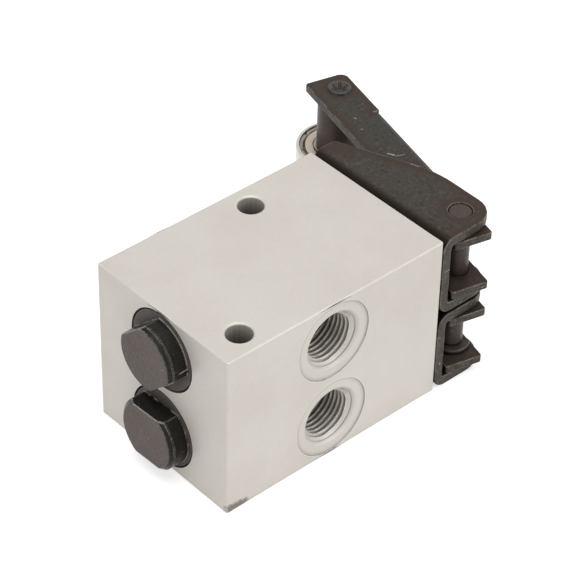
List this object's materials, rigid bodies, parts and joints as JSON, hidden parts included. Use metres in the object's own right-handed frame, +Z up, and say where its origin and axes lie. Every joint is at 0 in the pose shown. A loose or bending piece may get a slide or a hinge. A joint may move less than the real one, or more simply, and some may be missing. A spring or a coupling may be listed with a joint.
{
  "type": "mechanical valve",
  "caption": "Twin roller-lever mechanical valve: two poppet valves in one block, sheet levers on brackets and a shared bearing roller.",
  "frame": {"origin": "centre of the block's base face", "axes": "+X along the valve bores from the end plugs to the levers, +Z up from the base face, -Y towards the outlet ports"},
  "size_m": [0.0751, 0.0535, 0.032],
  "materials": {
    "anodised_aluminium": "satin anodised",
    "black_steel": "black oxide, semi-matte",
    "oxide_sheet_steel": "black oxide on sheet, worn edges",
    "ground_steel": "ground",
    "bearing_steel": "polished",
    "shield_steel": "satin",
    "stainless_steel": "ground",
    "spring_steel": "drawn wire",
    "brass": "turned",
    "seal_rubber": "matte"
  },
  "bodies": {
    "housing": {"valve_body": "anodised_aluminium", "bracket_screws": "black_steel", "end_plug_upper": "black_steel", "plug_oring_upper": "seal_rubber", "guide_bush_upper": "brass", "bush_oring_upper": "seal_rubber", "plunger_seal_upper": "seal_rubber", "bracket_upper": "oxide_sheet_steel", "pivot_pin_upper": "ground_steel", "pivot_clip_upper": "ground_steel", "plunger_spring_upper": "spring_steel", "poppet_spring_upper": "spring_steel", "end_plug_lower": "black_steel", "plug_oring_lower": "seal_rubber", "guide_bush_lower": "brass", "bush_oring_lower": "seal_rubber", "plunger_seal_lower": "seal_rubber", "bracket_lower": "oxide_sheet_steel", "pivot_pin_lower": "ground_steel", "pivot_clip_lower": "ground_steel", "plunger_spring_lower": "spring_steel", "poppet_spring_lower": "spring_steel"},
    "levers": {"lever_upper": "oxide_sheet_steel", "roller_sleeve_upper": "ground_steel", "lever_lower": "oxide_sheet_steel", "roller_sleeve_lower": "ground_steel", "roller_pin": "ground_steel", "roller_inner_ring": "bearing_steel"},
    "roller": {"roller_outer_ring": "bearing_steel", "roller_shield_upper": "shield_steel", "roller_shield_lower": "shield_steel"},
    "balls": {"roller_balls": "bearing_steel", "roller_cage": "shield_steel"},
    "plunger_upper": {"plunger_upper": "stainless_steel"},
    "poppet_upper": {"poppet_upper": "brass", "poppet_seal_upper": "seal_rubber"},
    "plunger_lower": {"plunger_lower": "stainless_steel"},
    "poppet_lower": {"poppet_lower": "brass", "poppet_seal_lower": "seal_rubber"}
  },
  "joints": [
    {"name": "lever_hinge", "type": "hinge", "parent": "housing", "child": "levers", "pos_m": [0.031, -0.0117, 0.016], "axis": [0, 0, 1], "range_deg": [0, 14], "stiffness_Nm_per_rad": 0.5, "springref_deg": -14.32},
    {"name": "roller_spin", "type": "hinge", "parent": "levers", "child": "roller", "pos_m": [0.04104, 0.02857, 0.016], "axis": [0, 0, 1], "continuous": true},
    {"name": "cage_spin", "type": "hinge", "parent": "levers", "child": "balls", "pos_m": [0.04104, 0.02857, 0.016], "axis": [0, 0, 1], "continuous": true},
    {"name": "plunger_slide_upper", "type": "slide", "parent": "housing", "child": "plunger_upper", "axis": [-1, 0, 0], "range_m": [0, 0.00279], "deforming": ["plunger_spring_upper"]},
    {"name": "poppet_slide_upper", "type": "slide", "parent": "housing", "child": "poppet_upper", "axis": [-1, 0, 0], "range_m": [0, 0.0018], "deforming": ["poppet_spring_upper"]},
    {"name": "plunger_slide_lower", "type": "slide", "parent": "housing", "child": "plunger_lower", "axis": [-1, 0, 0], "range_m": [0, 0.00279], "deforming": ["plunger_spring_lower"]},
    {"name": "poppet_slide_lower", "type": "slide", "parent": "housing", "child": "poppet_lower", "axis": [-1, 0, 0], "range_m": [0, 0.0018], "deforming": ["poppet_spring_lower"]}
  ],
  "couplings": [
    {"joint": "cage_spin", "follows": "roller_spin", "ratio": 0.5935},
    {"joint": "plunger_slide_upper", "follows": "lever_hinge", "m_per_rad": 0.0114},
    {"joint": "poppet_slide_upper", "follows": "lever_hinge", "m_per_rad": 0.00734},
    {"joint": "plunger_slide_lower", "follows": "lever_hinge", "m_per_rad": 0.0114},
    {"joint": "poppet_slide_lower", "follows": "lever_hinge", "m_per_rad": 0.00734}
  ]
}
